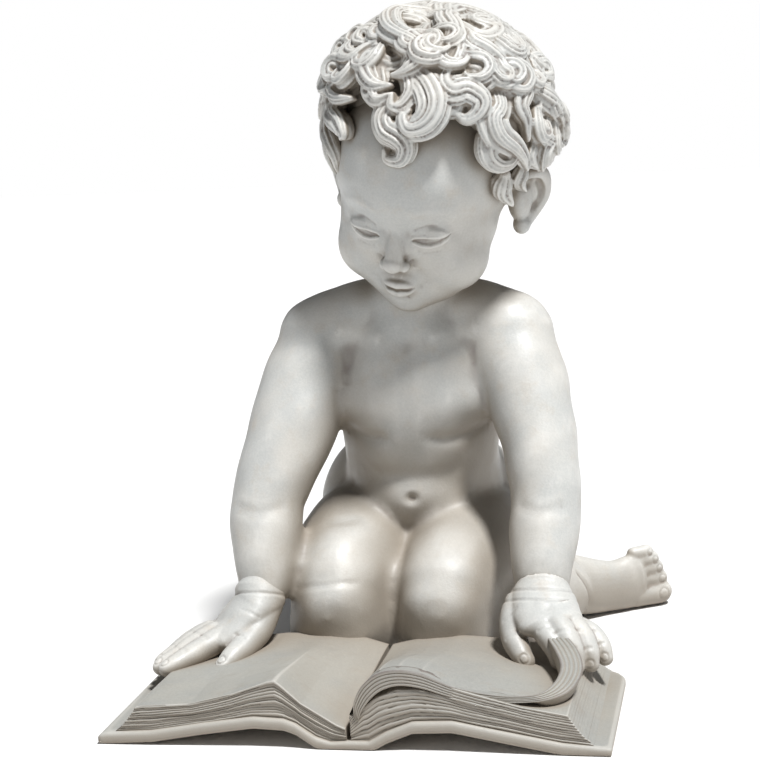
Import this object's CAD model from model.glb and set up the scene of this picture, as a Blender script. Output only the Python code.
"""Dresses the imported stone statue: a curly-haired small child kneeling over an open book.

The figure is laid out in millimetres from the book's spine, the book's far edge and the ground, and the book
from its spine and near edge. Every piece is one closed skin and rides on the model's single body.
"""
import logging
import math
from dataclasses import dataclass
from enum import Enum
from typing import Callable, Optional, Sequence

import bmesh
import bpy
import numpy as np
from mathutils import Matrix, Vector
from mathutils.bvhtree import BVHTree


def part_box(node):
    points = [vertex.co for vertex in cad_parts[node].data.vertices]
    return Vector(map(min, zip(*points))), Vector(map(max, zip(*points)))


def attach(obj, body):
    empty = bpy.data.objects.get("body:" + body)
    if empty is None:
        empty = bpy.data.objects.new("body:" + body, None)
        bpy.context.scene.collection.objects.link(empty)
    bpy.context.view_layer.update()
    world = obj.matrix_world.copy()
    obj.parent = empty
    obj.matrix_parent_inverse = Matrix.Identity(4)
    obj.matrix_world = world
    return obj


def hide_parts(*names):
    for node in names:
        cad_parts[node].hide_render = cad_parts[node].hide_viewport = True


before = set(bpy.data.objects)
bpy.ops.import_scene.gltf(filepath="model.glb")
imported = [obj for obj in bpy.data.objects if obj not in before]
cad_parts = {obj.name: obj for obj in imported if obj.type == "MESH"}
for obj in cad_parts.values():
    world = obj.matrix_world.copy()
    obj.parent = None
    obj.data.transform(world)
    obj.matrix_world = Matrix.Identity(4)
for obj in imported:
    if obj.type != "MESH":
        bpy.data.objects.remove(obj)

LOG = logging.getLogger("statue")
NODE = "cherub_statue"
PER_METRE = 1000.0
BOOK_HALF = 170.0
BOOK_DEEP = 150.0
HEAD_PLACE = (33.0, 64.0, 368.0)

# height, half width and length of each toe of the foot on the right
TOES = ((10.5, 9.5, 19), (22.5, 7.0, 19.5), (31.0, 6.3, 17.5), (38.5, 5.8, 14), (45.0, 5.2, 9.5))

Row = Sequence[float]
Rows = Sequence[Row]


class Side(Enum):
    """The two sides as a viewer in front sees them."""

    LEFT = -1
    RIGHT = 1


class Ground(Enum):
    """What a piece is laid out from."""

    BOOK = 0.0
    FIGURE = BOOK_DEEP


def eased(value: np.ndarray) -> np.ndarray:
    """Smooth step from 0 to 1."""
    value = np.clip(value, 0.0, 1.0)
    return value * value * (3.0 - 2.0 * value)


def spline(rows: Rows, share: Sequence[float]) -> np.ndarray:
    """Smooth curve through rows of numbers.

    Args:
        rows: the rows to pass through, in order.
        share: where to read the curve, from 0 at the first row to 1 at the last.

    Returns:
        One row for each share.
    """
    rows = np.asarray(rows, dtype=float)
    rows = np.vstack([2 * rows[0] - rows[1], rows, 2 * rows[-1] - rows[-2]])
    count = len(rows) - 3
    where = np.clip(np.asarray(share, dtype=float) * count, 0.0, count - 1e-9)
    index = where.astype(int)
    u = (where - index)[:, None]
    a, b, c, d = rows[index], rows[index + 1], rows[index + 2], rows[index + 3]
    return 0.5 * (2 * b + (c - a) * u + (2 * a - 5 * b + 4 * c - d) * u ** 2 + (3 * b - a - 3 * c + d) * u ** 3)


def mirrored(rows: Rows) -> list[Row]:
    """Rows that run up to the face's middle, then their mirror image back down the other side."""
    return [*rows, *((-row[0], *row[1:]) for row in reversed(rows[:-1]))]


def read(table: Rows, x: np.ndarray) -> np.ndarray:
    """Reads a table of (x, height) rows at x."""
    xs, heights = zip(*table)
    return np.interp(x, xs, heights)


def bake(thing: bpy.types.Object) -> bpy.types.Object:
    """Turns an object's modifiers into its mesh and returns the object."""
    graph = bpy.context.evaluated_depsgraph_get()
    mesh = bpy.data.meshes.new_from_object(thing.evaluated_get(graph))
    old = thing.data
    thing.modifiers.clear()
    thing.data = mesh
    bpy.data.meshes.remove(old)
    return thing


def thin(thing: bpy.types.Object, most: int) -> None:
    """Lowers an object's triangle count to at most a number, keeping the faces where the form is busy."""
    triangles = sum(len(face.vertices) - 2 for face in thing.data.polygons)
    if triangles > most:
        fewer = thing.modifiers.new("fewer faces", "DECIMATE")
        fewer.ratio = most / triangles
        bake(thing)


class Clay:
    """Closed forms gathered as a modeller builds up clay, then given one skin."""

    rounds: dict[tuple[int, int], bpy.types.Mesh] = {}

    def __init__(self) -> None:
        """Starts with no form."""
        self.bm = bmesh.new()

    def round_form(self, around: int, along: int) -> bmesh.types.BMesh:
        """A round form with that many points round and along it, made once for each pair."""
        if (around, along) not in self.rounds:
            form = bmesh.new()
            bmesh.ops.create_uvsphere(form, u_segments=around, v_segments=along, radius=1.0)
            self.rounds[around, along] = bpy.data.meshes.new("round")
            form.to_mesh(self.rounds[around, along])
            form.free()
        form = bmesh.new()
        form.from_mesh(self.rounds[around, along])
        return form

    def add(self, form: bmesh.types.BMesh) -> None:
        """Adds one closed form, turned to face out, to the others."""
        bmesh.ops.recalc_face_normals(form, faces=form.faces)
        carried = bpy.data.meshes.new("form")
        form.to_mesh(carried)
        form.free()
        self.take(carried)
        bpy.data.meshes.remove(carried)

    def take(self, mesh: bpy.types.Mesh) -> None:
        """Adds a finished mesh to the others."""
        self.bm.from_mesh(mesh)

    def ball(self, centre: Row, radii: Row, around: int = 32, along: int = 24) -> None:
        """Adds an ellipsoid with its axes along X, Y and Z."""
        form = self.round_form(around, along)
        matrix = Matrix.Translation(Vector(centre)) @ Matrix.Diagonal((*radii, 1.0))
        bmesh.ops.transform(form, matrix=matrix, verts=form.verts)
        self.add(form)

    def sweep(self, stations: Rows, facing: Sequence = (0.0, -1.0, 0.0), around: int = 28, along: int = 28,
              flutes: Optional["Flutes"] = None) -> None:
        """Adds a round form that runs through stations and has rounded ends.

        Args:
            stations: rows of place, half width and, where it differs, half depth.
            facing: the direction, or one for each station, that half depth is measured along.
            around: points round the form.
            along: points along the form.
            flutes: grooves that run along the form.
        """
        stations = np.asarray(stations, dtype=float)
        if stations.shape[1] == 4:
            stations = np.hstack([stations, stations[:, 3:4]])
        facing = np.broadcast_to(np.asarray(facing, dtype=float), (len(stations), 3))
        rows = np.hstack([stations, facing])
        form = self.round_form(around, along)
        made = list(form.verts)
        unit = np.array([vert.co[:] for vert in made])
        polar = np.arccos(np.clip(unit[:, 2], -1.0, 1.0))
        turn = np.arctan2(unit[:, 1], unit[:, 0])
        cap = math.pi / 7.0
        share = np.clip((polar - cap) / (math.pi - 2 * cap), 0.0, 1.0)
        row = spline(rows, share)
        ahead = spline(rows, np.clip(share + 0.01, 0, 1)) - spline(rows, np.clip(share - 0.01, 0, 1))
        tangent = ahead[:, :3] / np.linalg.norm(ahead[:, :3], axis=1)[:, None]
        across = np.cross(tangent, row[:, 5:8])
        across /= np.linalg.norm(across, axis=1)[:, None]
        front = np.cross(across, tangent)
        end = np.clip(np.minimum(polar, math.pi - polar) / cap, 0.0, 1.0) * math.pi / 2
        beyond = -np.cos(end) * row[:, 3:5].min(axis=1) * np.sign(math.pi / 2 - polar)
        scale = np.sin(end)
        if flutes is not None:
            scale = scale * flutes.scale(turn, share)
        place = row[:, :3] + tangent * beyond[:, None]
        place += across * (row[:, 3] * scale * np.cos(turn))[:, None]
        place += front * (row[:, 4] * scale * np.sin(turn))[:, None]
        for vert, point in zip(made, place):
            vert.co = point
        self.add(form)

    def block(self, counts: tuple[int, int, int], place: Callable) -> None:
        """Adds a six-sided block, each side cut into a fine grid and carried to its shape.

        Args:
            counts: squares along the block's three directions.
            place: takes the grid points' shares u, v and w along those directions and returns their places.
        """
        form = bmesh.new()
        bmesh.ops.create_cube(form, size=1.0)
        for axis, count in enumerate(counts):
            lines = [edge for edge in form.edges
                     if abs(edge.verts[0].co[axis] - edge.verts[1].co[axis]) > 0.5]
            bmesh.ops.subdivide_edges(form, edges=lines, cuts=count - 1, use_grid_fill=True)
        made = list(form.verts)
        share = np.array([vert.co[:] for vert in made]) + 0.5
        share = np.round(share * counts) / counts
        for vert, point in zip(made, place(*share.T)):
            vert.co = point
        self.add(form)

    def solid(self, name: str) -> bpy.types.Object:
        """Puts the gathered forms into the scene as one object and returns it."""
        mesh = bpy.data.meshes.new(name)
        self.bm.to_mesh(mesh)
        self.bm.free()
        made = bpy.data.objects.new(name, mesh)
        bpy.context.scene.collection.objects.link(made)
        return made

    def skin(self, name: str, grain: float, rounds: int) -> bpy.types.Object:
        """Gives the gathered forms one closed skin.

        Args:
            name: the object's name.
            grain: size of the skin's squares in millimetres.
            rounds: how often the skin is smoothed.

        Returns:
            The skinned object.
        """
        made = self.solid(name)
        skin = made.modifiers.new("one skin", "REMESH")
        skin.mode = "VOXEL"
        skin.voxel_size = grain
        worn = made.modifiers.new("worn soft", "SMOOTH")
        worn.factor = 0.5
        worn.iterations = rounds
        return bake(made)


@dataclass(frozen=True)
class Flutes:
    """Grooves along a lock of hair, between rounded strands."""

    count: int = 13
    depth: float = 0.22
    bold: int = 5
    bold_depth: float = 0.30
    twist: float = 0.5
    phase: float = 0.0

    def scale(self, turn: np.ndarray, share: np.ndarray) -> np.ndarray:
        """How far out the skin stands, as a share, at a turn round the lock and a share of its length."""
        turned = turn + self.twist * (share - 0.5) + self.phase
        turned = turned + 0.14 * np.sin(2.0 * turned + 3.0 * self.phase) + 0.06 * np.sin(5.0 * turned + self.phase)
        strands = (1.0 - np.abs(np.sin(turned * self.count / 2.0))) ** 1.2
        partings = (1.0 - np.abs(np.sin(turned * self.bold / 2.0 + 0.4))) ** 2.4
        return 1.0 - self.depth * strands - self.bold_depth * partings * np.minimum(1.0, 0.5 + 2.0 * share)


def skin_points(mesh: bpy.types.Mesh) -> tuple[np.ndarray, np.ndarray]:
    """Places of a mesh's points, and its normals there."""
    places = np.empty(len(mesh.vertices) * 3)
    normals = np.empty_like(places)
    mesh.vertices.foreach_get("co", places)
    mesh.vertex_normals.foreach_get("vector", normals)
    return places.reshape(-1, 3), normals.reshape(-1, 3)


class Relief:
    """Low carving on a finished skin: every point moves in or out along its normal."""

    steps_per_mm = 1.5
    drop_mm = 60.0

    def __init__(self, thing: bpy.types.Object) -> None:
        """Reads the skin's points and their normals."""
        self.mesh = thing.data
        self.places, self.normals = skin_points(self.mesh)
        self.push = np.zeros(len(self.places))
        bm = bmesh.new()
        bm.from_mesh(self.mesh)
        self.tree = BVHTree.FromBMesh(bm)
        bm.free()

    def course(self, points: Rows, toward: Optional[Row] = None) -> np.ndarray:
        """Lays a smooth line on the skin.

        Args:
            points: places that the line passes near.
            toward: direction to drop the points along, or none for the nearest place.

        Returns:
            Places about two thirds of a millimetre apart.
        """
        points = np.asarray(points, dtype=float)
        length = np.linalg.norm(np.diff(points, axis=0), axis=1).sum()
        line = spline(points, np.linspace(0.0, 1.0, max(4, int(length * self.steps_per_mm))))
        laid = []
        for point in line:
            point = Vector(point)
            found = None
            if toward is not None:
                way = Vector(toward).normalized()
                found = self.tree.ray_cast(point - way * self.drop_mm, way)[0]
            if found is None:
                found = self.tree.find_nearest(point)[0]
            laid.append(found[:])
        return np.array(laid)

    def stroke(self, points: Rows, width: float, depth: float, toward: Optional[Row] = None,
               taper: bool = True) -> None:
        """Cuts a groove along a line, or raises a ridge where depth is negative.

        Args:
            points: places that the line passes near.
            width: half the groove's width.
            depth: how deep it goes.
            toward: direction to drop the points along, or none for the nearest place.
            taper: whether the groove fades at its ends.
        """
        line = self.course(points, toward)
        low = line.min(axis=0) - 3 * width
        high = line.max(axis=0) + 3 * width
        near = np.flatnonzero(((self.places > low) & (self.places < high)).all(axis=1))
        if not len(near):
            return
        best = np.full(len(near), 1e9)
        where = np.zeros(len(near))
        for step, point in enumerate(line):
            gap = ((self.places[near] - point) ** 2).sum(axis=1)
            closer = gap < best
            best[closer] = gap[closer]
            where[closer] = step / (len(line) - 1)
        strength = np.exp(-best / (width * width))
        if taper:
            strength *= eased(np.minimum(where, 1.0 - where) * 5.0)
        self.push[near] -= depth * strength

    def oval(self, centre: Row, along: Row, across: Row, width: float, depth: float,
             toward: Optional[Row] = None) -> None:
        """Cuts a closed oval groove.

        Args:
            centre: middle of the oval.
            along: half of its length, as a vector.
            across: half of its breadth, as a vector.
            width: half the groove's width.
            depth: how deep it goes.
            toward: direction to drop the oval along, or none for the nearest place.
        """
        turns = np.linspace(0.0, 2 * math.pi, 17)
        ring = [np.asarray(centre) + np.cos(t) * np.asarray(along) + np.sin(t) * np.asarray(across) for t in turns]
        self.stroke(ring, width, depth, toward, taper=False)

    def dent(self, centre: Row, radii: Row, depth: float) -> None:
        """Presses a soft hollow, or a swelling where depth is negative, round a place."""
        gap = (((self.places - np.asarray(centre)) / np.asarray(radii)) ** 2).sum(axis=1)
        self.push -= depth * np.exp(-gap)

    def ring(self, centre: Row, axis: Row, reach: float, width: float, depth: float) -> None:
        """Cuts a groove right round a limb.

        Args:
            centre: middle of the limb at the groove.
            axis: the limb's direction there.
            reach: how far from the centre the limb's skin lies at most.
            width: half the groove's width.
            depth: how deep it goes.
        """
        axis = np.asarray(axis, dtype=float) / np.linalg.norm(axis)
        arm = self.places - np.asarray(centre)
        height = arm @ axis
        inside = np.linalg.norm(arm, axis=1) < reach
        self.push -= np.where(inside, depth * np.exp(-(height / width) ** 2), 0.0)

    def toolwork(self, size: float, height: float, seed: int) -> None:
        """Leaves the slight unevenness of hand rubbing.

        Args:
            size: distance between swells.
            height: how far they stand.
            seed: fixes their places.
        """
        chance = np.random.RandomState(seed)
        swell = np.zeros(len(self.places))
        for _ in range(9):
            way = chance.normal(size=3)
            way *= 2 * math.pi / (size * chance.uniform(0.7, 1.5) * np.linalg.norm(way))
            swell += np.sin(self.places @ way + chance.uniform(0, 6.28))
        self.push += swell * height / 3.0

    def finish(self) -> None:
        """Moves the points."""
        moved = self.places + self.normals * self.push[:, None]
        self.mesh.vertices.foreach_set("co", moved.ravel())
        self.mesh.update()


def mark_hollows(mesh: bpy.types.Mesh) -> None:
    """Stores how far each point lies in a hollow, fine and broad, for the stone's patina."""
    places, normals = skin_points(mesh)
    count = len(places)
    edges = np.empty(len(mesh.edges) * 2, dtype=np.int64)
    mesh.edges.foreach_get("vertices", edges)
    first, second = edges.reshape(-1, 2).T
    degree = np.maximum(np.bincount(first, minlength=count) + np.bincount(second, minlength=count), 1)
    smooth = places.copy()
    for name, rounds in (("fine_hollow", 5), ("broad_hollow", 36)):
        for _ in range(rounds):
            total = np.zeros_like(smooth)
            for axis in range(3):
                total[:, axis] = np.bincount(first, smooth[second, axis], count)
                total[:, axis] += np.bincount(second, smooth[first, axis], count)
            smooth = 0.35 * smooth + 0.65 * total / degree[:, None]
        depth = ((smooth - places) * normals).sum(axis=1)
        stored = mesh.attributes.new(name, "FLOAT", "POINT")
        stored.data.foreach_set("value", depth.astype(np.float32))


class Nodes:
    """Short calls for building a material's node tree."""

    def __init__(self, material: bpy.types.Material) -> None:
        """Empties the material's tree and adds its output."""
        material.use_nodes = True
        self.tree = material.node_tree
        self.tree.nodes.clear()
        self.output = self.tree.nodes.new("ShaderNodeOutputMaterial")

    def add(self, kind: str, **values: object) -> bpy.types.Node:
        """Adds a node and sets its own properties."""
        node = self.tree.nodes.new(kind)
        for name, value in values.items():
            setattr(node, name, value)
        return node

    def link(self, source: bpy.types.NodeSocket, target: bpy.types.NodeSocket) -> None:
        """Joins two sockets."""
        self.tree.links.new(source, target)

    def stored(self, name: str) -> bpy.types.NodeSocket:
        """Reads a number stored on the mesh's points."""
        return self.add("ShaderNodeAttribute", attribute_name=name).outputs["Fac"]

    def openness(self, reach: float) -> bpy.types.NodeSocket:
        """How open the surface lies within a reach in metres, 1 where nothing is near."""
        node = self.add("ShaderNodeAmbientOcclusion", samples=8, only_local=False)
        node.inputs["Distance"].default_value = reach
        return node.outputs["AO"]

    def noise(self, where: bpy.types.NodeSocket, scale: float, detail: float, rough: float) -> bpy.types.NodeSocket:
        """Adds a noise pattern and returns its factor."""
        node = self.add("ShaderNodeTexNoise")
        node.inputs["Scale"].default_value = scale
        node.inputs["Detail"].default_value = detail
        node.inputs["Roughness"].default_value = rough
        self.link(where, node.inputs["Vector"])
        return node.outputs["Fac"]

    def ranged(self, value: bpy.types.NodeSocket, low: float, high: float, out_low: float = 0.0,
               out_high: float = 1.0) -> bpy.types.NodeSocket:
        """Carries a value smoothly from one range to another and returns it."""
        node = self.add("ShaderNodeMapRange", interpolation_type="SMOOTHSTEP")
        for name, number in zip(("From Min", "From Max", "To Min", "To Max"), (low, high, out_low, out_high)):
            node.inputs[name].default_value = number
        self.link(value, node.inputs["Value"])
        return node.outputs["Result"]

    def math(self, operation: str, first: object, second: object) -> bpy.types.NodeSocket:
        """Adds a sum, each side a socket or a number, and returns its value."""
        node = self.add("ShaderNodeMath", operation=operation)
        for socket, value in zip(node.inputs, (first, second)):
            if isinstance(value, (int, float)):
                socket.default_value = value
            else:
                self.link(value, socket)
        return node.outputs[0]

    def mix(self, share: bpy.types.NodeSocket, first: object, second: object) -> bpy.types.NodeSocket:
        """Mixes two colours, each a socket or an RGB row, and returns the colour."""
        node = self.add("ShaderNodeMix", data_type="RGBA", blend_type="MIX")
        self.link(share, node.inputs["Factor"])
        for socket, value in ((node.inputs[6], first), (node.inputs[7], second)):
            if isinstance(value, bpy.types.NodeSocket):
                self.link(value, socket)
            else:
                socket.default_value = (*value, 1.0)
        return node.outputs[2]


@dataclass(frozen=True)
class StoneFinish:
    """Pale honed stone with a brown patina left in its hollows; depths and reaches are in metres."""

    name: str
    pale: Row = (0.58, 0.565, 0.53)
    cool: Row = (0.50, 0.51, 0.50)
    warm: Row = (0.50, 0.45, 0.385)
    bright: Row = (0.74, 0.73, 0.70)
    patina: Row = (0.11, 0.072, 0.062)
    rough_low: float = 0.36
    rough_high: float = 0.55
    hollow_depth: float = 0.00032
    broad_depth: float = 0.0015
    patina_share: float = 0.9
    shaded: Row = (0.30, 0.262, 0.215)
    shaded_share: float = 0.92
    near_reach: float = 0.022
    wide_reach: float = 0.25

    def make(self) -> bpy.types.Material:
        """Builds and returns the material."""
        material = bpy.data.materials.new(self.name)
        nodes = Nodes(material)
        where = nodes.add("ShaderNodeTexCoord").outputs["Object"]
        clouds = nodes.noise(where, 14.0, 4.0, 0.55)
        spots = nodes.noise(where, 70.0, 5.0, 0.6)
        grain = nodes.noise(where, 650.0, 3.0, 0.6)
        colour = nodes.mix(nodes.ranged(clouds, 0.38, 0.62), self.pale, self.cool)
        colour = nodes.mix(nodes.ranged(spots, 0.5, 0.75, 0.0, 0.45), colour, self.warm)
        colour = nodes.mix(nodes.ranged(grain, 0.35, 0.7, 0.0, 0.22), colour, self.bright)
        fine = nodes.stored("fine_hollow")
        broad = nodes.stored("broad_hollow")
        edge = nodes.ranged(fine, -0.12 * self.hollow_depth, -0.8 * self.hollow_depth, 0.0, 0.6)
        colour = nodes.mix(edge, colour, self.bright)
        closed = nodes.ranged(nodes.openness(self.near_reach), 0.75, 0.2)
        dirt = nodes.math("MAXIMUM", nodes.ranged(fine, 0.12 * self.hollow_depth, self.hollow_depth, 0.0, 0.8),
                          nodes.ranged(broad, 0.15 * self.broad_depth, self.broad_depth, 0.0, 0.7))
        dirt = nodes.math("MAXIMUM", dirt, closed)
        broken = nodes.ranged(nodes.noise(where, 45.0, 4.0, 0.6), 0.25, 0.7, 0.55, 1.0)
        dirt = nodes.math("MULTIPLY", nodes.math("MULTIPLY", dirt, broken), self.patina_share)
        colour = nodes.mix(dirt, colour, self.patina)
        settled = nodes.math("MULTIPLY", nodes.ranged(nodes.openness(self.wide_reach), 0.9, 0.4), self.shaded_share)
        colour = nodes.mix(settled, colour, self.shaded)
        shader = nodes.add("ShaderNodeBsdfPrincipled")
        nodes.link(colour, shader.inputs["Base Color"])
        gloss = nodes.math("ADD", nodes.ranged(spots, 0.3, 0.7, self.rough_low, self.rough_high),
                           nodes.math("MULTIPLY", dirt, 0.25))
        nodes.link(gloss, shader.inputs["Roughness"])
        shader.inputs["Specular IOR Level"].default_value = 0.45
        bump = nodes.add("ShaderNodeBump")
        bump.inputs["Strength"].default_value = 0.35
        bump.inputs["Distance"].default_value = 0.0004
        nodes.link(nodes.math("ADD", grain, nodes.math("MULTIPLY", spots, 2.0)), bump.inputs["Height"])
        nodes.link(bump.outputs["Normal"], shader.inputs["Normal"])
        nodes.link(shader.outputs["BSDF"], nodes.output.inputs["Surface"])
        return material


class Workshop:
    """Carries finished pieces to their place on the model and dresses them."""

    def __init__(self) -> None:
        """Reads where the solid stands and makes the finishes."""
        low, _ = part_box(NODE)
        self.origin = Vector((low[0] + BOOK_HALF / PER_METRE, low[1], low[2]))
        self.finishes = {
            Ground.FIGURE: StoneFinish("honed pale stone").make(),
            Ground.BOOK: StoneFinish("dusty pale stone", pale=(0.36, 0.355, 0.325), cool=(0.32, 0.325, 0.31),
                                     warm=(0.31, 0.28, 0.24), bright=(0.53, 0.515, 0.48), rough_low=0.5,
                                     rough_high=0.68).make(),
        }

    def carry(self, ground: Ground) -> Matrix:
        """The move from millimetres on that ground to the model's frame."""
        stand = Vector((0, ground.value / PER_METRE, 0))
        return Matrix.Translation(self.origin + stand) @ Matrix.Scale(1.0 / PER_METRE, 4)

    def place(self, thing: bpy.types.Object, ground: Ground = Ground.FIGURE) -> None:
        """Sets a finished piece in the model.

        Args:
            thing: the piece, in millimetres.
            ground: what it was laid out from.
        """
        mesh = thing.data
        mesh.transform(self.carry(ground))
        mesh.update()
        mark_hollows(mesh)
        mesh.polygons.foreach_set("use_smooth", np.ones(len(mesh.polygons), dtype=bool))
        mesh.materials.clear()
        mesh.materials.append(self.finishes[ground])
        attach(thing, "root")
        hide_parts(NODE)
        count = sum(len(face.vertices) - 2 for face in mesh.polygons)
        LOG.info("%s: %d triangles", thing.name, count)


@dataclass
class Body:
    """Leaning trunk, arms to the wrists, folded legs and feet."""

    mass_grain: float = 3.2
    skin_grain: float = 1.35
    mass_rounds: int = 15
    skin_rounds: int = 3
    triangles: int = 188000

    def trunk(self, clay: Clay) -> None:
        """Leaning trunk, seat, neck and the slopes of the shoulders."""
        clay.sweep(((6, 168, 24, 68, 52), (6, 158, 60, 74, 60), (8, 134, 98, 66, 56), (9, 114, 130, 60, 52),
                    (11, 100, 160, 60, 50), (13, 92, 190, 64, 49), (14, 88, 218, 66, 44), (13, 84, 242, 54, 36),
                    (13, 82, 260, 34, 30)), around=48, along=48)
        clay.ball((9, 100, 116), (51, 45, 40))
        clay.ball((-17, 72, 194), (35, 22, 28))
        clay.ball((46, 73, 194), (34, 22, 28))
        clay.ball((12, 104, 208), (62, 32, 50))
        clay.ball((4, 95, 24), (44, 62, 27))
        clay.ball((2, 141, 97), (81, 45, 67), 48, 36)
        for x in (-34, 46):
            clay.ball((x, 180, 52), (50, 50, 52))
        clay.sweep(((13, 90, 244, 36, 34), (18, 84, 270, 33, 33), (25, 76, 300, 34, 34), (29, 68, 330, 36, 36)))
        clay.sweep(((13, 88, 258, 27), (-26, 87, 250, 29), (-60, 84, 236, 32)), facing=(0, 0, 1))
        clay.sweep(((17, 88, 258, 27), (54, 87, 250, 29), (86, 84, 236, 32)), facing=(0, 0, 1))

    def arms(self, clay: Clay) -> None:
        """Straight arms that carry the child's weight, down to the wrists."""
        clay.sweep(((-54, 86, 234, 32, 32), (-66, 75, 212, 34, 35), (-77, 54, 174, 33.5, 33), (-87, 38, 144, 29.5, 29),
                    (-93, 29, 122, 28, 28), (-93.5, 16, 98, 26, 25.5),
                    (-91.5, 5, 80, 22.5, 22), (-91.5, -2, 66, 18.5, 18)), around=40, along=40)
        clay.sweep(((79, 86, 234, 32, 32), (92, 75, 212, 33, 35), (104, 56, 176, 29.5, 31), (111, 39, 144, 26.5, 28),
                    (113, 31, 122, 26, 27), (112, 17, 98, 25, 25.5), (111.5, 6, 80, 22.5, 23),
                    (112, -1, 66, 19, 18.5)), around=40, along=40)

    def legs(self, clay: Clay) -> None:
        """Thighs forward, lower legs folded back on the ground on either side of the seat."""
        up = (0, 0, 1)
        clay.sweep(((-36, 150, 62, 50, 52), (-38, 100, 70, 48, 50), (-40, 65, 66, 46, 49), (-43, 38, 56, 40, 45),
                    (-43, 24, 44, 35.5, 39)), facing=up, around=40, along=32)
        clay.sweep(((50, 150, 62, 50, 52), (48, 100, 68, 47, 48), (43, 62, 60, 44, 46), (38.5, 36, 52, 38, 42),
                    (37, 24, 44, 33.5, 36)), facing=up, around=40, along=32)
        clay.ball((-43, 25, 31), (38, 34.5, 41))
        clay.ball((36, 26, 30), (35, 33, 39))
        clay.ball((-3, 40, 32), (14, 19, 44))
        clay.sweep(((40, 40, 33, 32, 34), (66, 65, 31, 34, 36), (92, 100, 30, 32, 34), (108, 126, 27, 25, 28),
                    (117, 140, 26, 21, 24)), facing=up)
        clay.sweep(((-44, 40, 33, 32, 34), (-56, 75, 31, 33, 36), (-66, 120, 29, 30, 33), (-72, 170, 25, 23, 26),
                    (-76, 195, 23, 20, 22)), facing=up)

    def feet(self, clay: Clay) -> None:
        """The foot on the right lies on its inner edge with its toes outward, the other points back."""
        up = (0, 0, 1)
        clay.sweep(((116, 138, 28, 19, 24), (132, 147, 24, 15, 22), (148, 157, 22, 12, 20.5), (160, 165, 23, 11, 21.5),
                    (166, 169, 24, 9, 21)), facing=up)
        clay.ball((121, 149, 18), (16, 17, 17))
        along = Vector((0.84, 0.54, 0.0))
        for height, radius, length in TOES:
            root = Vector((164, 169, height))
            tip = root + along * length
            clay.sweep(((*root, radius), (*tip, radius), (*(tip + along * radius * 0.5), radius)), facing=up)
        clay.sweep(((-76, 195, 26, 20, 21), (-80, 212, 22, 17, 18), (-85, 231, 18, 17, 14), (-90, 243, 14, 17, 10)),
                   facing=up)
        for index in range(5):
            x = -104 + index * 7.5
            clay.sweep(((x, 240, 10, 5.5), (x - 3, 252 + index * 1.4, 9, 5.5)), facing=up)

    def carve(self, relief: Relief) -> None:
        """Folds and hollows of the child's soft flesh."""
        # chest, belly and collarbones
        relief.stroke(((-46, 76, 180), (-36, 68, 173), (-18, 62, 167), (4, 61, 169)), 5.5, 2.0)
        relief.stroke(((16, 61, 169), (42, 62, 166), (60, 68, 172), (72, 76, 180)), 5.5, 2.0)
        relief.dent((-18, 50, 190), (22, 20, 17), -2.4)
        relief.dent((46, 50, 190), (22, 20, 17), -2.4)
        relief.dent((12, 56, 194), (7, 16, 26), 1.6)
        relief.stroke(((-42, 70, 143), (-20, 60, 137), (8, 56, 135), (40, 60, 137), (62, 70, 143)), 7.5, 1.3)
        relief.dent((10, 48, 120), (26, 20, 15), -2.0)
        relief.dent((10, 54, 118), (4.5, 8, 4), 3.4)
        relief.dent((10, 45, 234), (15, 14, 13), 3.4)
        relief.stroke(((-2, 50, 238), (-22, 54, 242), (-48, 60, 245)), 7.5, -1.5)
        relief.stroke(((24, 50, 238), (46, 54, 242), (72, 62, 245)), 7.5, -1.5)
        # thighs, elbows and armpits
        relief.stroke(((-66, 8, 58), (-57, -2, 66), (-44, -6, 69), (-30, -2, 69), (-20, 6, 66)), 2.8, 0.7)
        relief.stroke(((-74, 44, 116), (-58, 30, 116), (-40, 28, 118), (-16, 38, 116)), 5.0, 0.9)
        relief.stroke(((-112, 14, 124), (-94, 3, 120), (-74, 12, 123)), 5.0, 1.0)
        relief.stroke(((94, 14, 124), (112, 4, 120), (130, 14, 123)), 5.0, 1.0)
        relief.stroke(((-40, 52, 206), (-48, 58, 190), (-50, 66, 176)), 5.5, 0.7)
        relief.stroke(((76, 54, 206), (82, 62, 190), (82, 70, 176)), 5.5, 0.7)
        # spine, seat and shoulder blades
        relief.stroke(((10, 260, 240), (9, 260, 200), (7, 260, 160), (6, 260, 120)), 9.0, 1.7, toward=(0, -1, 0))
        relief.stroke(((6, 260, 116), (6, 260, 80), (6, 260, 44), (6, 260, 6)), 11.0, 4.5, toward=(0, -1, 0))
        relief.stroke(((6, 260, 100), (6, 260, 74), (6, 260, 40), (6, 260, 4)), 4.8, 1.3, toward=(0, -1, 0))
        relief.dent((-32, 134, 206), (19, 22, 26), -2.6)
        relief.dent((50, 134, 206), (19, 22, 26), -2.6)
        # toenails and ankle
        along = np.array((0.84, 0.54, 0.0))
        for height, radius, length in TOES:
            tip = np.array((165, 170, height)) + along * (length + radius * 0.6)
            nail = tip + np.array((2.0, -radius, 0.0))
            relief.oval(nail, along * radius * 0.45, (0, 0, radius * 0.5), 0.8, 0.7, toward=(-0.3, 1, 0))
        relief.stroke(((118, 116, 44), (126, 124, 30), (128, 134, 12)), 2.6, 1.4)
        relief.toolwork(34.0, 0.35, 3)

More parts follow.
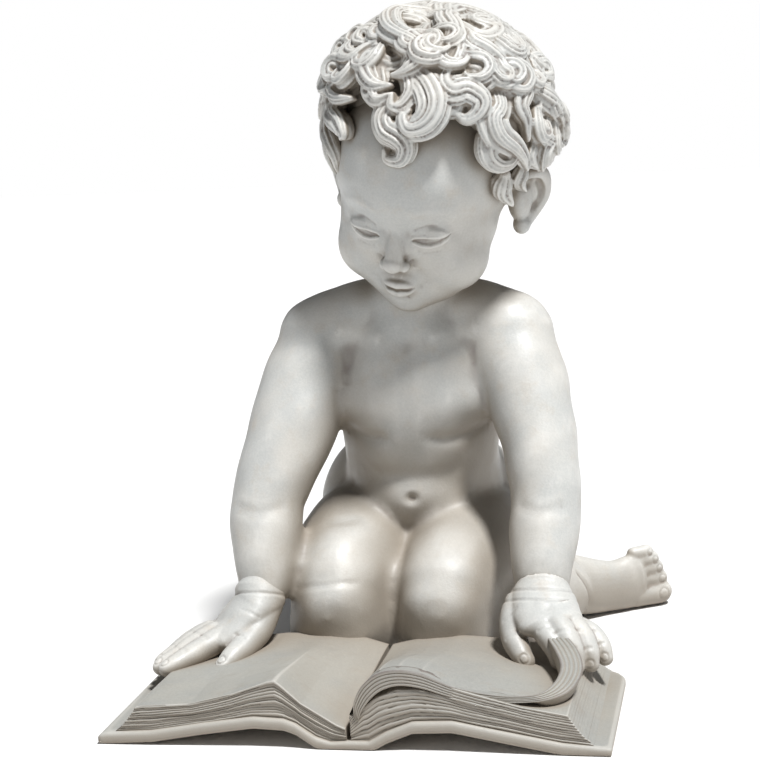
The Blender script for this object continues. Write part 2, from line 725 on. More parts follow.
    def build(self, shop: Workshop) -> None:
        """Models, carves and places the body."""
        masses = Clay()
        self.trunk(masses)
        self.arms(masses)
        self.legs(masses)
        soft = masses.skin("soft_masses", self.mass_grain, self.mass_rounds)
        clay = Clay()
        clay.take(soft.data)
        self.feet(clay)
        body = clay.skin("body", self.skin_grain, self.skin_rounds)
        bpy.data.objects.remove(soft)
        relief = Relief(body)
        self.carve(relief)
        relief.finish()
        thin(body, self.triangles)
        cut_at_ground(body)
        shop.place(body)


def cut_at_ground(thing: bpy.types.Object) -> None:
    """Cuts a piece flat where it meets the ground and closes the cut."""
    bm = bmesh.new()
    bm.from_mesh(thing.data)
    whole = bm.verts[:] + bm.edges[:] + bm.faces[:]
    cut = bmesh.ops.bisect_plane(bm, geom=whole, dist=0.0001, plane_co=(0, 0, 0.02), plane_no=(0, 0, -1),
                                 clear_outer=True)["geom_cut"]
    rim = [piece for piece in cut if isinstance(piece, bmesh.types.BMEdge)]
    bmesh.ops.holes_fill(bm, edges=rim, sides=0)
    bmesh.ops.triangulate(bm, faces=[face for face in bm.faces if len(face.verts) > 4])
    bm.to_mesh(thing.data)
    bm.free()


@dataclass
class Hand:
    """One plump hand: palm, five digits, nails and the dimples over the knuckles."""

    side: Side
    palm: Rows
    digits: Sequence[Rows]
    palm_facing: Row
    digit_facing: Row
    wrist_folds: Row
    grain: float = 0.85
    triangles: int = 44000

    def carve(self, relief: Relief) -> None:
        """Wrist fold, knuckle dimples, joint creases and nails."""
        start = np.array(self.palm[0][:3], dtype=float)
        for drop in self.wrist_folds:
            relief.ring(start + np.array((0, -0.4 * drop, -drop)), (0, 0.45, 1), 30, 1.2, 0.7)
        up = np.array(self.palm_facing, dtype=float)
        up /= np.linalg.norm(up)
        for index, rows in enumerate(self.digits):
            places = np.array([row[:3] for row in rows], dtype=float)
            widths = np.array([row[3] for row in rows], dtype=float)
            way = places[-1] - places[-2]
            way /= np.linalg.norm(way)
            facing = np.array(self.digit_facing, dtype=float)
            facing -= way * (facing @ way)
            facing /= np.linalg.norm(facing)
            across = np.cross(way, facing)
            if index:
                relief.dent(places[0] + up * widths[0] * 0.9, (5, 5, 5), 1.6)
            for joint in (1, 2):
                spot = places[joint] + facing * widths[joint]
                half = across * widths[joint] * 0.8
                relief.stroke((spot - half, spot, spot + half), 1.5, 0.45)
            width = widths[-1]
            nail = places[-1] + facing * width * 0.95 + way * width * 0.25
            relief.oval(nail, way * width * 0.62, across * width * 0.58, 0.7, 0.6)
            relief.dent(nail, (width * 0.55,) * 3, 0.25)

    def build(self, shop: Workshop) -> None:
        """Models, carves and places the hand."""
        clay = Clay()
        clay.sweep(self.palm, facing=self.palm_facing, around=36, along=30)
        for rows in self.digits:
            clay.sweep(rows, facing=self.digit_facing, around=24, along=30)
        hand = clay.skin(self.side.name.lower() + "_hand", self.grain, 5)
        relief = Relief(hand)
        self.carve(relief)
        relief.toolwork(18.0, 0.15, 5)
        relief.finish()
        thin(hand, self.triangles)
        shop.place(hand)


def hands() -> tuple[Hand, Hand]:
    """The left hand lies flat on its page, the other holds the curled leaves."""
    left = Hand(Side.LEFT,
                ((-91.5, 2, 80, 13, 13), (-92.5, -4, 67, 17.5, 16.5), (-94, -9, 60, 19.5, 17), (-99, -14, 52, 22, 15),
                 (-110, -23, 43, 23, 12), (-121, -32, 36, 21, 9.5)),
                (((-88, -12, 54, 12), (-91, -27, 42, 11), (-97, -43, 34, 9.5), (-103, -55, 29, 8.5),
                  (-107, -62, 26, 6.5)),
                 ((-112, -34, 40, 9), (-124, -45, 34, 9), (-136, -57, 29, 8), (-147, -68, 25, 6.2)),
                 ((-120, -30, 40, 9), (-132, -38, 34, 9), (-144, -50, 28, 8), (-154, -61, 24, 6.2)),
                 ((-126, -24, 39, 9), (-138, -30, 33, 8.5), (-149, -40, 27, 7.5), (-157, -50, 23, 6)),
                 ((-128, -18, 38, 8), (-140, -21, 33, 7.5), (-150, -29, 27, 6.8), (-157, -38, 23, 5.4))),
                (0.3, 0.3, 1.0), (0.0, 0.0, 1.0), (20.0,))
    right = Hand(Side.RIGHT,
                 ((111.5, 2, 80, 13, 13), (112, -3, 69, 18, 17.5), (112.5, -8, 65, 20.5, 18), (113, -14, 62, 22.5, 16),
                  (116, -25, 57, 24, 13), (121, -37, 52, 23, 10)),
                 (((98, -14, 58, 12), (95, -26, 50, 11), (96, -38, 40, 9.5), (101, -47, 33, 8), (105, -51, 29, 6.5)),
                  ((110, -32, 54, 9), (118, -44, 48, 9), (125, -53, 40, 8), (129, -58, 31, 6.5)),
                  ((120, -34, 54, 9), (130, -45, 48, 9), (137, -53, 38, 8), (140, -57, 28, 6.3)),
                  ((128, -29, 51, 9), (140, -38, 46, 8.5), (147, -46, 36, 7.6), (149, -50, 27, 6)),
                  ((132, -21, 47, 8), (147, -28, 42, 7.8), (155, -35, 35, 7), (158, -39, 28, 5.6))),
                 (0.0, -0.3, 1.0), (0.0, -1.0, 0.4), (17.0, 24.0))
    return left, right


def head_turn() -> Matrix:
    """From the head's own frame to the figure's: it looks down and to the left, its crown leaning right."""
    turn = (Matrix.Rotation(math.radians(-10), 4, "Z") @ Matrix.Rotation(math.radians(9), 4, "Y")
            @ Matrix.Rotation(math.radians(26), 4, "X"))
    return Matrix.Translation(HEAD_PLACE) @ turn


@dataclass
class Head:
    """Skull and a calm small child's face of the general pattern, with its eyes lowered."""

    eye_apart: float = 23.0
    eye_height: float = -17.0
    nose_base: float = -42.0
    mouth: float = -58.5
    grain: float = 0.85
    fullness: float = 1.07
    triangles: int = 112000

    def masses(self, clay: Clay) -> None:
        """Skull, cheeks, jaw and chin."""
        clay.ball((0, 4, 4), (62, 74, 62), 48, 36)
        clay.ball((0, -22, -26), (55, 46, 46), 48, 36)
        clay.ball((0, -28, -58), (42, 38, 32), 48, 36)
        clay.ball((0, -51, -76), (16, 13, 12))
        for side in (-1, 1):
            clay.ball((side * 27, -36, -45), (27, 27, 28))

    def features(self, clay: Clay) -> None:
        """Nose, eyeballs, lips and ears."""
        ahead = (0, -1, 0)
        base = self.nose_base
        lips = self.mouth
        clay.sweep(((0, -61.5, -12, 6.5, 4), (0, -65, -24, 6.3, 5.5), (0, -70, base + 7, 6.5, 6)), facing=ahead)
        clay.ball((0, -72.5, base + 4.5), (6.6, 6.0, 5.8))
        clay.ball((0, -54, lips + 1), (19, 14.3, 15))
        clay.sweep(mirrored(((-13, -61.5, lips, 1.4), (-7, -66.6, lips + 2.2, 2.4), (-2.5, -68.2, lips + 3.0, 2.9),
                             (0, -68.4, lips + 2.5, 2.8))), facing=ahead)
        clay.sweep(mirrored(((-11.5, -62, lips - 1.5, 1.4), (-6, -66.2, lips - 3.4, 2.8),
                             (0, -67.4, lips - 4.0, 3.3))), facing=ahead)
        for side in (-1, 1):
            clay.ball((side * 6.6, -68.5, base + 2.2), (4.4, 5.4, 4.2))
            clay.ball((side * self.eye_apart, -50.2, self.eye_height - 0.5), (14.5, 13.6, 12.5))
            clay.sweep(((side * 58, -2, -10, 5, 3), (side * 70, 4, -1, 5, 3.8), (side * 77, 15, -8, 5.5, 3.8),
                        (side * 76, 16, -25, 5.5, 3.8), (side * 65, 3, -42, 5.5, 4.5)), facing=(side, 0, 0))
            clay.ball((side * 63, 7, -22), (9, 13, 18))
            clay.ball((side * 70, 13, -19), (6.5, 7, 18))
            clay.ball((side * 65, 1, -40), (6, 6, 7))

    def lid_lines(self, x: np.ndarray) -> tuple[np.ndarray, np.ndarray]:
        """Heights of the upper and lower lid's edges at x, measured outward from the nose."""
        z = self.eye_height
        upper = np.interp(x, (11, 14, 19, 24, 30, 34, 37), (-4.6, -2.8, -2.0, -1.9, -1.8, -1.3, -0.8))
        lower = np.interp(x, (11, 14, 19, 24, 30, 34, 37), (-4.9, -5.6, -7.2, -7.7, -6.4, -3.6, -1.0))
        return z + upper, z + lower

    def open_lids(self, relief: Relief) -> None:
        """Sets the eyeball back in the slit between the lids and turns the lids' edges out."""
        x = np.abs(relief.places[:, 0])
        z = relief.places[:, 2]
        upper, lower = self.lid_lines(x)
        facing = (relief.places[:, 1] < -50) & (x > 10.5) & (x < 37.5)
        inside = eased((upper - z) / 0.8) * eased((z - lower) / 0.8)
        relief.push -= np.where(facing, 1.6 * inside, 0.0)
        ends = eased((x - 10) / 5.0) * eased((38 - x) / 5.0)
        edge = 0.75 * np.exp(-((z - upper - 0.9) / 1.0) ** 2) + 0.55 * np.exp(-((z - lower + 1.0) / 1.1) ** 2)
        relief.push += np.where(facing, edge * ends, 0.0)

    def carve(self, relief: Relief) -> None:
        """Lids, nostrils, the line of the mouth and the soft hollows between."""
        ahead = (0, 1, 0)
        up = self.eye_height
        base = self.nose_base
        lips = self.mouth
        self.open_lids(relief)
        for side in (-1, 1):
            eye = side * self.eye_apart
            relief.dent((side * 9.5, -64, up - 1), (5.5, 8, 7.5), 2.4)
            relief.dent((eye - side * 2, -63, up + 12), (13, 10, 6), 1.2)
            relief.dent((eye + side * 15.5, -56, up - 2), (5, 8, 5), 1.3)
            relief.stroke(((side * 12, -64, up + 0.5), (side * 16, -66, up + 4.5), (eye, -66, up + 6.6),
                           (eye + side * 8, -63, up + 5.0), (eye + side * 14, -57, up + 0.5)), 1.9, 0.9, ahead)
            relief.stroke(((side * 13, -64, up - 11), (eye - side * 2, -65, up - 13.5),
                           (eye + side * 9, -60, up - 12)), 2.4, 0.8, ahead)
            relief.stroke(((side * 9, -66, up + 13), (eye - side * 2, -66, up + 18), (eye + side * 11, -60, up + 15.5),
                           (eye + side * 18, -52, up + 9)), 4.5, -1.1, ahead)
            relief.dent((side * 3.8, -72, base - 1.6), (2.0, 4.0, 1.5), 1.7)
            relief.stroke(((side * 10.6, -66, base + 7), (side * 12.2, -65, base + 2.5), (side * 11.2, -65, base - 2)),
                          2.2, 0.6, ahead)
            relief.dent((side * 14.8, -61, lips - 0.6), (4.0, 5, 4.0), 1.0)
            relief.stroke(((side * 12.5, -64, base - 1), (side * 17.5, -60, lips + 8), (side * 19.5, -58, lips)),
                          3.2, 0.7, ahead)
            relief.stroke(((side * 2.4, -71, base - 4), (side * 2.8, -71, lips + 6.5)), 1.3, -0.5, ahead)
            relief.stroke(((side * 66, -4, -12), (side * 74, 6, -8), (side * 76, 10, -20), (side * 70, 2, -34)),
                          2.4, 1.8)
        relief.stroke(mirrored(((-13.5, -62, lips - 0.5), (-8, -68, lips - 0.9), (-3, -71, lips - 0.2),
                                (0, -72, lips - 0.9))), 1.0, 2.0, ahead)
        relief.stroke(mirrored(((-8, -64, lips - 9.4), (0, -66, lips - 10.4))), 3.0, 1.3, ahead)
        relief.toolwork(26.0, 0.2, 11)

    def build(self, shop: Workshop) -> None:
        """Models, carves and places the head."""
        clay = Clay()
        self.masses(clay)
        soft = clay.skin("head_masses", 2.6, 34)
        clay = Clay()
        clay.take(soft.data)
        self.features(clay)
        head = clay.skin("head", self.grain, 8)
        bpy.data.objects.remove(soft)
        relief = Relief(head)
        self.carve(relief)
        relief.finish()
        thin(head, self.triangles)
        middle = Matrix.Translation((0, 10, 30))
        head.data.transform(middle @ Matrix.Scale(self.fullness, 4) @ middle.inverted())
        head.data.transform(head_turn())
        shop.place(head)


# half width, lift off the hair's outer shape, then azimuth and elevation of each point from root to tip
FRONT_LOCKS = (
    (10.5, 3, (1, 57), (13, 50), (19, 42), (19, 35), (14, 29), (6, 27), (2, 32), (5, 35)),
    (8.5, 1, (-9, 39), (-12, 31), (-8, 25), (0, 22), (4, 18), (2, 12), (-5, 11), (-7, 15)),
    (8.5, 2, (-28, 58), (-42, 54), (-36, 48), (-23, 44), (-12, 46)),
    (7.0, 0, (-36, 45), (-26, 41), (-17, 38), (-9, 42)),
    (8.5, 2, (-45, 69), (-5, 68), (5, 61), (-1, 55), (-13, 51)),
    (9.5, 3, (-85, 57), (-85, 50), (-78, 45), (-68, 44), (-57, 48), (-58, 56), (-58, 63)),
    (8.0, 1, (-50, 42), (-58, 36), (-64, 28), (-52, 28), (-38, 33)),
    (7.5, 0, (-62, 24), (-58, 16), (-44, 17), (-36, 15), (-37, 12)),
    (8.5, 0, (-68, 20), (-68, 10), (-62, 3), (-52, 2), (-44, -1), (-42, -8)),
    (9.5, 4, (180, 78), (-130, 72), (-105, 68), (-68, 70), (-10, 70), (7, 64), (5, 58)),
    (8.5, 3, (-110, 78), (150, 82), (85, 82), (60, 73), (38, 67), (22, 61)),
    (8.0, 1, (50, 80), (58, 71), (46, 62), (35, 56), (28, 49)),
    (9.0, 3, (35, 56), (29, 50), (32, 44), (41, 43), (47, 37), (44, 32), (37, 30), (31, 34)),
    (7.5, 1, (46, 57), (57, 52), (58, 43), (50, 41)),
    (9.0, 2, (90, 83), (80, 73), (68, 65), (73, 57), (75, 48), (66, 40), (68, 33)),
    (9.5, 1, (125, 62), (108, 56), (100, 48), (98, 41), (98, 33)),
    (9.5, 2, (57, 53), (75, 48), (83, 41), (80, 33), (71, 27), (72, 19), (70, 10)),
    (10.0, 3, (62, 41), (58, 32), (51, 27), (52, 19), (59, 11), (65, 2), (68, -5)),
    (7.0, 1, (50, 23), (46, 16), (46, 9), (51, 4), (59, 4), (60, 10)),
    (9.0, 3, (90, 35), (92, 26), (100, 14), (106, 2), (100, -3), (85, 7)),
    (7.0, 1, (82, 18), (79, 11), (88, 1), (105, -8)),
    (8.0, 1, (112, -2), (98, 0), (84, -3), (84, -11), (96, -12)),
    (6.5, 0, (78, 5), (71, 0), (76, -9)),
    (6.5, -1, (56, -6), (55, -15), (62, -26)),
    (6.0, -1, (70, -6), (66, -13), (70, -20)),
    (10.0, 2, (-104, 60), (-94, 50), (-84, 41), (-76, 35), (-68, 31), (-62, 35)),
    (9.5, 1, (-100, 44), (-90, 36), (-80, 29), (-76, 21), (-82, 15), (-90, 18)),
    (9.0, 1, (-96, 26), (-86, 19), (-77, 12), (-78, 3), (-87, 1)),
    (9.0, 0, (-92, 8), (-80, 2), (-72, -6), (-66, -13), (-62, -20)),
    (8.5, 0, (-98, -6), (-87, -11), (-79, -19), (-75, -28)),
    (7.5, -1, (-8, 58), (2, 51), (5, 44), (0, 37), (-7, 37), (-8, 42)),
    (7.0, -1, (34, 50), (27, 44), (26, 37), (33, 35), (38, 40)),
    (6.5, -1, (-34, 54), (-26, 49), (-20, 43), (-26, 38), (-32, 41)),
    (9.5, 2, (-150, 66), (-132, 60), (-118, 53), (-108, 47), (-100, 50), (-98, 57)),
)


@dataclass
class Hair:
    """Deeply cut curls: fluted locks in layers over a close-set cap."""

    centre: Row = (4.0, 14.0, 20.0)
    radii: Row = (84.0, 82.0, 84.0)
    depth: float = 8.8
    back_edge: float = 100.0
    nape_edge: float = 126.0
    broad_lock: float = 8.2
    curls: int = 120
    back_rows: Rows = ((72, 4, 11.0), (55, 6, 11.5), (38, 8, 12.0), (20, 9, 12.0), (2, 10, 11.5), (-15, 9, 11.0),
                       (-31, 8, 10.0), (-46, 6, 9.5), (-60, 4, 9.0))
    breadth: Rows = ((0, 0.6), (0.12, 0.88), (0.3, 1.0), (0.5, 0.9), (0.7, 0.66), (0.86, 0.42), (1, 0.2))
    height: Rows = ((0, 0.6), (0.3, 1.0), (0.7, 0.9), (1, 0.5))
    hairline: Rows = ((-95, -10), (-70, 8), (-60, 22), (-45, 44), (-20, 50), (20, 52), (45, 46), (60, 30), (75, 12),
                      (95, -20))
    seed: int = 7
    grain: float = 0.72
    triangles: int = 197000

    def point(self, azimuth: float, elevation: float, lift: float) -> tuple[np.ndarray, np.ndarray]:
        """Place on the hair's outer shape, moved out by lift, and the way out from it."""
        a = math.radians(azimuth)
        e = math.radians(elevation)
        way = np.array((math.sin(a) * math.cos(e), -math.cos(a) * math.cos(e), math.sin(e)))
        out = way / np.array(self.radii)
        out /= np.linalg.norm(out)
        return np.array(self.centre) + np.array(self.radii) * way + out * lift, out

    def lock(self, clay: Clay, half_width: float, lift: float, path: Rows, phase: float, fine: bool = True) -> None:
        """Adds one lock.

        Args:
            clay: what the lock is added to.
            half_width: half of the lock's widest breadth.
            lift: how far it stands off the hair's outer shape.
            path: azimuth and elevation from root to tip.
            phase: turn of its flutes, which makes each lock its own.
            fine: whether it has as many strands as a lock in front.
        """
        count = len(path)
        angles = np.degrees(np.unwrap(np.radians([point[0] for point in path])))
        steps = 3 * count
        smooth = spline(np.column_stack([angles, [point[1] for point in path]]), np.linspace(0, 1, steps))
        shares = np.linspace(0, 1, steps)
        widths = 1.32 * half_width * np.interp(shares, *zip(*self.breadth))
        depths = self.depth * np.interp(shares, *zip(*self.height))
        rows = []
        facings = []
        for (azimuth, elevation), share, width, deep in zip(smooth, shares, widths, depths):
            arch = 1.7 * lift * math.sin(math.pi * min(share * 1.1, 1.0))
            place, out = self.point(azimuth, elevation, arch - self.depth * (0.85 - 0.5 * share))
            rows.append((*place, width, deep))
            facings.append(out)
        strands = int((2.1 if fine else 1.7) * half_width)
        flutes = Flutes(count=strands, bold=5 if half_width > self.broad_lock else 4,
                        twist=0.6 * math.sin(3.1 * phase + 1.0), phase=phase)
        clay.sweep(rows, facing=facings, around=96, along=64, flutes=flutes)

    def front(self, clay: Clay) -> None:
        """The locks over the brow, the crown and the sides."""
        self.under(clay)
        for index, (half_width, lift, *path) in enumerate(FRONT_LOCKS):
            self.lock(clay, half_width, lift, path, 0.61 * index)
        self.small_curls(clay)

    def small_curls(self, clay: Clay) -> None:
        """Short pointed curls scattered over the longer locks, clear of the brow."""
        chance = np.random.RandomState(self.seed + 2)
        for index in range(self.curls):
            azimuth = chance.uniform(-110, 115)
            elevation = math.degrees(math.asin(chance.uniform(-0.2, 0.99)))
            bend = 1 if chance.uniform() < 0.5 else -1
            size = chance.uniform(0.7, 1.1)
            if elevation - 12 < np.interp(azimuth, *zip(*self.hairline)):
                continue
            stretch = size / max(math.cos(math.radians(elevation)), 0.3)
            path = [(azimuth + bend * swing * stretch, elevation + fall * size)
                    for swing, fall in ((-5, 8), (2, 5), (6, 0), (5, -5), (0, -7), (-4, -4), (-3, 0))]
            self.lock(clay, chance.uniform(4.8, 7.2), chance.uniform(1.0, 5.5), path, 0.8 * index)

    def under(self, clay: Clay) -> None:
        """Lower waves that fill between the locks in front, kept above the hairline."""
        chance = np.random.RandomState(self.seed + 1)
        for row, elevation in enumerate((80, 66, 52, 38, 24, 10, -4)):
            count = max(4, int(14 * math.cos(math.radians(elevation))))
            for index in range(count):
                azimuth = -105 + 210 * (index + 0.25 + 0.5 * (row % 2)) / count + chance.uniform(-5, 5)
                bend = 1 if chance.uniform() < 0.5 else -1
                size = chance.uniform(0.75, 1.05)
                if elevation - 14 < np.interp(azimuth, *zip(*self.hairline)):
                    continue
                stretch = size / max(math.cos(math.radians(elevation)), 0.35)
                path = []
                for swing, fall in ((-3, 10), (5, 4), (8, -2), (4, -8), (-4, -11), (-8, -7), (-5, -4)):
                    path.append((azimuth + bend * swing * stretch, elevation + fall * size))
                self.lock(clay, 9.0, -3.5, path, 1.3 * row + 0.9 * index)

    def back(self, clay: Clay) -> None:
        """Rows of waves round the back, each row set between the locks of the last."""
        chance = np.random.RandomState(self.seed)
        for row, (elevation, count, half_width) in enumerate(self.back_rows):
            edge = self.nape_edge if elevation < -10 else self.back_edge
            span = 360.0 - 2.0 * edge
            for index in range(count):
                azimuth = edge + span * (index + 0.25 + 0.5 * (row % 2)) / count + chance.uniform(-4, 4)
                bend = 1 if (index + row) % 2 else -1
                stretch = 1.0 / max(math.cos(math.radians(elevation)), 0.35)
                reach = chance.uniform(0.85, 1.2)
                path = []
                for swing, fall in ((-4, 12), (4, 6), (9, -2), (6, -10), (-3, -14), (-9, -10), (-8, -4), (-3, -5)):
                    path.append((azimuth + bend * swing * stretch * reach, elevation + fall * reach))
                lift = chance.uniform(-1, 3) - (2.5 if elevation < -40 else 0.0)
                self.lock(clay, half_width, lift, path, row + 0.7 * index, fine=False)

    def cap(self, clay: Clay) -> None:
        """Close-set wavy hair under the locks."""
        for centre, radii in (((4, 26, 29), (75, 64, 67)), ((2, 36, -8), (62, 48, 46))):
            form = bmesh.new()
            made = bmesh.ops.create_icosphere(form, subdivisions=7, radius=1.0)["verts"]
            way = np.array([vert.co[:] for vert in made])
            turn = np.arctan2(way[:, 1], way[:, 0])
            rise = np.arcsin(np.clip(way[:, 2], -1, 1))
            wave = turn + 0.10 * np.sin(7.0 * rise + 2.0 * turn) + 0.05 * np.sin(15.0 * rise + 5.0 * turn)
            strands = 1.0 - np.abs(np.sin(wave * 56.0))
            swell = np.sin(11.0 * wave + 6.0 * rise) * np.sin(9.0 * rise + 3.0 * turn)
            scale = 1.0 + (0.022 * swell - 0.014 * strands) * np.cos(rise)
            for vert, point in zip(made, np.array(centre) + way * scale[:, None] * np.array(radii)):
                vert.co = point
            clay.add(form)

    def build(self, shop: Workshop) -> None:
        """Models and places the hair in front and the hair behind."""
        for name, locks, coarse in (("hair_front", self.front, 1.0), ("hair_back", self.back, 1.2)):
            clay = Clay()
            if name == "hair_back":
                self.cap(clay)
            locks(clay)
            hair = clay.skin(name, self.grain * coarse, 1)
            thin(hair, self.triangles)
            hair.data.transform(head_turn())
            shop.place(hair)


@dataclass
class Book:
    """Open book: an arched cover, two blocks of pages and the bundle of leaves that one hand curls back."""

    cover_thick: float = 8.0
    leaves: int = 12
    groove: float = 1.15
    left_top: Rows = ((-170, 21), (-166, 22), (-138, 27), (-105, 29), (-77, 36), (-52, 45), (-47, 46), (-43, 43),
                      (-30, 31), (-7, 17), (2, 13))
    left_far: Rows = ((-170, 18), (-145, 22), (-105, 28), (-76, 31), (-42, 31), (-17, 28), (0, 23))
    right_top: Rows = ((0, 20), (5, 30), (11, 42), (21, 51), (34, 54), (50, 52), (70, 43), (95, 36), (114, 31),
                       (139, 27), (170, 21))
    right_far: Rows = ((0, 23), (21, 28), (34, 30), (51, 31), (70, 30), (95, 27), (114, 25), (139, 23), (170, 18))
    cover_top: Rows = ((-170, 7), (-166, 8), (-133, 10), (-98, 16), (-63, 21), (-42, 20), (-34, 17), (-21, 8),
                       (-11, 5), (0, 6), (14, 6), (26, 13), (43, 20), (69, 21), (101, 15), (139, 8), (164, 6),
                       (170, 6))
    slit: Rows = ((0, 22), (8, 27), (19, 36), (34, 42), (50, 42), (65, 38), (80, 33), (95, 29), (114, 27), (140, 25))

    def top(self, x: np.ndarray, v: np.ndarray) -> np.ndarray:
        """Height of the open pages over a place; v runs from the near edge at 0 to the far edge at 1."""
        near = np.where(x < 0, read(self.left_top, x), read(self.right_top, x))
        far = np.where(x < 0, read(self.left_far, x), read(self.right_far, x))
        return near + (far - near) * eased(v * 1.05)

    def board(self, x: np.ndarray, v: np.ndarray) -> np.ndarray:
        """Height of the cover's upper face."""
        rise = read(self.cover_top, x) - 6.0
        return 6.0 + rise * (1.0 - eased(v * 1.3))

    def cover(self, clay: Clay) -> None:
        """Both boards and the spine as one arched slab, its edges rounded and its far corner worn."""
        def place(u: np.ndarray, v: np.ndarray, w: np.ndarray) -> np.ndarray:
            """Carries the grid to the slab."""
            x = (2 * u - 1) * BOOK_HALF
            top = self.board(x, v)
            round_in = 1.6 * (np.abs(2 * w - 1) ** 4)
            y = v * BOOK_DEEP
            y = np.where(v == 0, y + round_in, np.where(v == 1, y - round_in, y))
            x = np.where(u == 0, x + round_in, np.where(u == 1, x - round_in, x))
            chip = 5.0 * np.exp(-((x - 170) ** 2 + (y - 150) ** 2) / 90.0)
            floor = np.maximum(top - self.cover_thick, 0.02)
            return np.column_stack([x - chip, y - chip, floor + (top - floor) * w])
        clay.block((120, 40, 6), place)

    def pages(self, clay: Clay, side: Side) -> None:
        """One half of the pages, with a rounded edge for every few leaves."""
        chance = np.random.RandomState(5 + side.value)
        stick = chance.uniform(-0.45, 0.45, self.leaves + 1)
        depth = chance.uniform(0.6, 1.2, self.leaves + 1)
        inner = 2.0 if side is Side.RIGHT else 1.0

        def place(u: np.ndarray, v: np.ndarray, w: np.ndarray) -> np.ndarray:
            """Carries the grid to the block."""
            fore = BOOK_HALF * (0.955 - 0.115 * w ** 0.7)
            x = side.value * (inner + u * (fore - inner))
            top = self.top(x, v)
            low = self.board(x, v)
            z = low - 1.5 + (top - low + 1.5) * w
            leaf = w * self.leaves + 0.25 * np.sin(x / 23.0) + 0.12 * np.sin(x / 7.0 + 2.0)
            index = np.clip(leaf.astype(int), 0, self.leaves)
            cut = np.abs(2 * (leaf - np.floor(leaf)) - 1) ** 5 * self.groove * depth[index] + stick[index]
            cut *= np.clip((1 - w) * 30, 0.25, 1)
            sway = 0.5 * np.sin(x / 31.0 + index) + 0.3 * np.sin(x / 11.0 + 2 * index)
            y = v * (BOOK_DEEP - 1.0)
            near = 1.2 + cut + 0.5 * sway + 1.6 * (1 - w)
            if side is Side.RIGHT:
                slit = read(self.slit, x)
                behind = eased((z - slit + 1.0) / 1.5) * eased((72 - x) / 16.0)
                near += 9.0 * behind
            y = np.where(v == 0, near, y)
            x = np.where(u == 1, x - side.value * 0.3 * cut, x)
            y = np.where(v == 1, y - cut * 0.5, y)
            z = z + 0.5 * w * (np.sin(x / 19.0 + v * 5.0) + np.sin(x / 9.0 - v * 9.0) * 0.5) * np.sin(math.pi * v)
            return np.column_stack([x, y, z])
        clay.block((130, 56, 70), place)

    def upper_leaves(self, clay: Clay) -> None:
        """The upper leaves' near edge, from the spine over the hump and round in the curl under the hand."""
        inside = ((5, 0.5, 24), (5.5, 0.3, 32), (11, 0.2, 43), (21, 0.2, 51.5), (34, 0.3, 54.5), (50, 0.6, 52.5),
                  (70, 2, 44), (88, 4, 39.5), (104, 4.5, 37.5), (119, 7, 37.5), (128, 15, 38.5), (133.5, 30, 41),
                  (134, 50, 43), (129, 70, 45), (122, 90, 47), (114, 110, 51))
        outside = ((8, 0.5, 20), (11, 0.3, 27), (17, 0.2, 35), (25, 0.2, 41), (36, 0.3, 44), (50, 0.5, 42.5),
                   (68, 1.5, 37), (88, 3, 33), (112, 4, 33), (129, 7, 34), (141, 19, 35), (147, 35, 37),
                   (148.5, 55, 40), (144, 76, 44), (134, 96, 48), (119, 114, 50.5))

        def place(u: np.ndarray, v: np.ndarray, w: np.ndarray) -> np.ndarray:
            """Carries the grid to the strip; v runs from its inside edge, w from its hidden side."""
            high = spline(inside, u)
            low = spline(outside, u)
            step = np.clip(u + 0.004, 0, 1)
            back = np.clip(u - 0.004, 0, 1)
            along = spline(inside, step) + spline(outside, step) - spline(inside, back) - spline(outside, back)
            along /= np.linalg.norm(along, axis=1)[:, None]
            skin = low - high
            inward = np.cross(along, skin)
            inward /= np.linalg.norm(inward, axis=1)[:, None]
            inward = np.where((inward[:, 1] < 0)[:, None] & (u < 0.45)[:, None], -inward, inward)
            inward = np.where((inward[:, 2] > 0)[:, None] & (u >= 0.45)[:, None], -inward, inward)
            leaf = v * 5
            cut = np.abs(2 * (leaf - np.floor(np.minimum(leaf, 4.999))) - 1) ** 5 * 1.1
            cut = cut * (w == 1) + (w < 1) * 12.0 * (1 - w)
            rounded = 1.0 - 0.18 * (1 - w)
            mid = high + skin * 0.5
            return mid + skin * ((v - 0.5) * rounded)[:, None] + inward * cut[:, None]
        clay.block((150, 40, 6), place)

    def build(self, shop: Workshop) -> None:
        """Models and places the cover, the pages and the curled leaves."""
        pieces = (("book_cover", self.cover), ("left_pages", lambda clay: self.pages(clay, Side.LEFT)),
                  ("right_pages", lambda clay: self.pages(clay, Side.RIGHT)), ("upper_leaves", self.upper_leaves))
        for name, model in pieces:
            clay = Clay()
            model(clay)
            shop.place(clay.solid(name), Ground.BOOK)


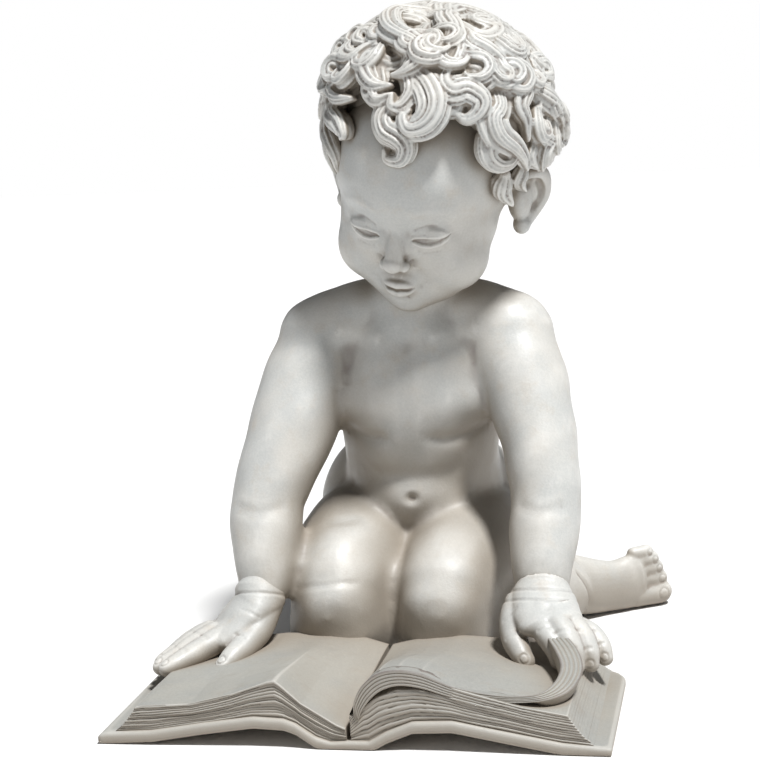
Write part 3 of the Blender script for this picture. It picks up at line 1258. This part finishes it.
@dataclass(frozen=True)
class Studio:
    """Pale floor, soft light from the upper right, and the camera; metres and degrees."""

    place: Row = (0.26309, -1.07673, 0.42691)
    azimuth: float = 12.0
    elevation: float = 9.5
    roll: float = 3.0
    focal_px: float = 1800.0
    picture_px: float = 760.0
    sensor_mm: float = 36.0
    middle: float = 0.22
    sun_azimuth: float = 50.0
    sun_elevation: float = 66.0
    sun_strength: float = 4.6
    sun_softness: float = 8.0

    def camera(self, origin: Vector) -> None:
        """Sets up the camera at the photograph's viewing angle."""
        a, e, r = (math.radians(angle) for angle in (self.azimuth, self.elevation, self.roll))
        ahead = Vector((-math.sin(a) * math.cos(e), math.cos(a) * math.cos(e), -math.sin(e)))
        right = Vector((math.cos(a), math.sin(a), 0.0))
        up = right.cross(ahead)
        right, up = right * math.cos(r) - up * math.sin(r), right * math.sin(r) + up * math.cos(r)
        data = bpy.data.cameras.new("camera")
        data.sensor_width = self.sensor_mm
        data.lens = self.sensor_mm * self.focal_px / self.picture_px
        data.clip_end = 50.0
        camera = bpy.data.objects.new("camera", data)
        turn = Matrix((right, up, -ahead)).transposed().to_4x4()
        camera.matrix_world = Matrix.Translation(origin + Vector(self.place)) @ turn
        bpy.context.scene.collection.objects.link(camera)
        bpy.context.scene.camera = camera

    def hang(self, data: bpy.types.Light, place: Row, way: Vector) -> None:
        """Puts a light at a place and turns it to shine along a way."""
        light = bpy.data.objects.new(data.name, data)
        light.location = place
        light.rotation_mode = "QUATERNION"
        light.rotation_quaternion = way.to_track_quat("-Z", "Y")
        bpy.context.scene.collection.objects.link(light)

    def lamp(self, name: str, place: Row, size: float, power: float, colour: Row) -> None:
        """Adds a soft square lamp that points at the statue's middle."""
        data = bpy.data.lights.new(name, "AREA")
        data.size = size
        data.energy = power
        data.color = colour
        self.hang(data, place, Vector((0.0, 0.0, self.middle)) - Vector(place))

    def sun(self) -> None:
        """Adds the main light, high on the right."""
        a, e = math.radians(self.sun_azimuth), math.radians(self.sun_elevation)
        data = bpy.data.lights.new("key", "SUN")
        data.energy = self.sun_strength
        data.angle = math.radians(self.sun_softness)
        data.color = (1.0, 0.998, 0.99)
        way = Vector((-math.sin(a) * math.cos(e), math.cos(a) * math.cos(e), -math.sin(e)))
        self.hang(data, (0.0, 0.0, 0.0), way)

    def air(self) -> None:
        """Dim soft light from all round, behind which the studio looks white."""
        world = bpy.data.worlds.new("studio air")
        world.use_nodes = True
        tree = world.node_tree
        tree.nodes.clear()
        soft = tree.nodes.new("ShaderNodeBackground")
        soft.inputs["Color"].default_value = (0.95, 0.97, 1.0, 1.0)
        soft.inputs["Strength"].default_value = 0.11
        white = tree.nodes.new("ShaderNodeBackground")
        white.inputs["Color"].default_value = (1.0, 1.0, 1.0, 1.0)
        seen = tree.nodes.new("ShaderNodeLightPath")
        chosen = tree.nodes.new("ShaderNodeMixShader")
        output = tree.nodes.new("ShaderNodeOutputWorld")
        tree.links.new(seen.outputs["Is Camera Ray"], chosen.inputs[0])
        tree.links.new(soft.outputs[0], chosen.inputs[1])
        tree.links.new(white.outputs[0], chosen.inputs[2])
        tree.links.new(chosen.outputs[0], output.inputs["Surface"])
        bpy.context.scene.world = world

    def floor(self) -> None:
        """Lays a large pale floor."""
        bm = bmesh.new()
        bmesh.ops.create_grid(bm, x_segments=8, y_segments=8, size=6.0)
        mesh = bpy.data.meshes.new("floor")
        bm.to_mesh(mesh)
        bm.free()
        floor = bpy.data.objects.new("floor", mesh)
        bpy.context.scene.collection.objects.link(floor)
        material = bpy.data.materials.new("pale floor")
        material.use_nodes = True
        shader = material.node_tree.nodes["Principled BSDF"]
        shader.inputs["Base Color"].default_value = (0.84, 0.84, 0.84, 1.0)
        shader.inputs["Roughness"].default_value = 0.9
        mesh.materials.append(material)

    def build(self, shop: Workshop) -> None:
        """Sets up the whole studio."""
        self.camera(shop.origin)
        self.floor()
        self.sun()
        self.lamp("fill", (-1.6, -1.6, 0.9), 1.4, 3.0, (0.97, 0.98, 1.0))
        self.air()
        bpy.context.scene.view_settings.view_transform = "Standard"


def main() -> None:
    """Builds every piece in order and notes the sizes."""
    logging.basicConfig(level=logging.INFO, format="%(message)s")
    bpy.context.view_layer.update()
    shop = Workshop()
    Studio().build(shop)
    Body().build(shop)
    for hand in hands():
        hand.build(shop)
    Head().build(shop)
    Hair().build(shop)
    Book().build(shop)


if __name__ == "__main__":
    main()
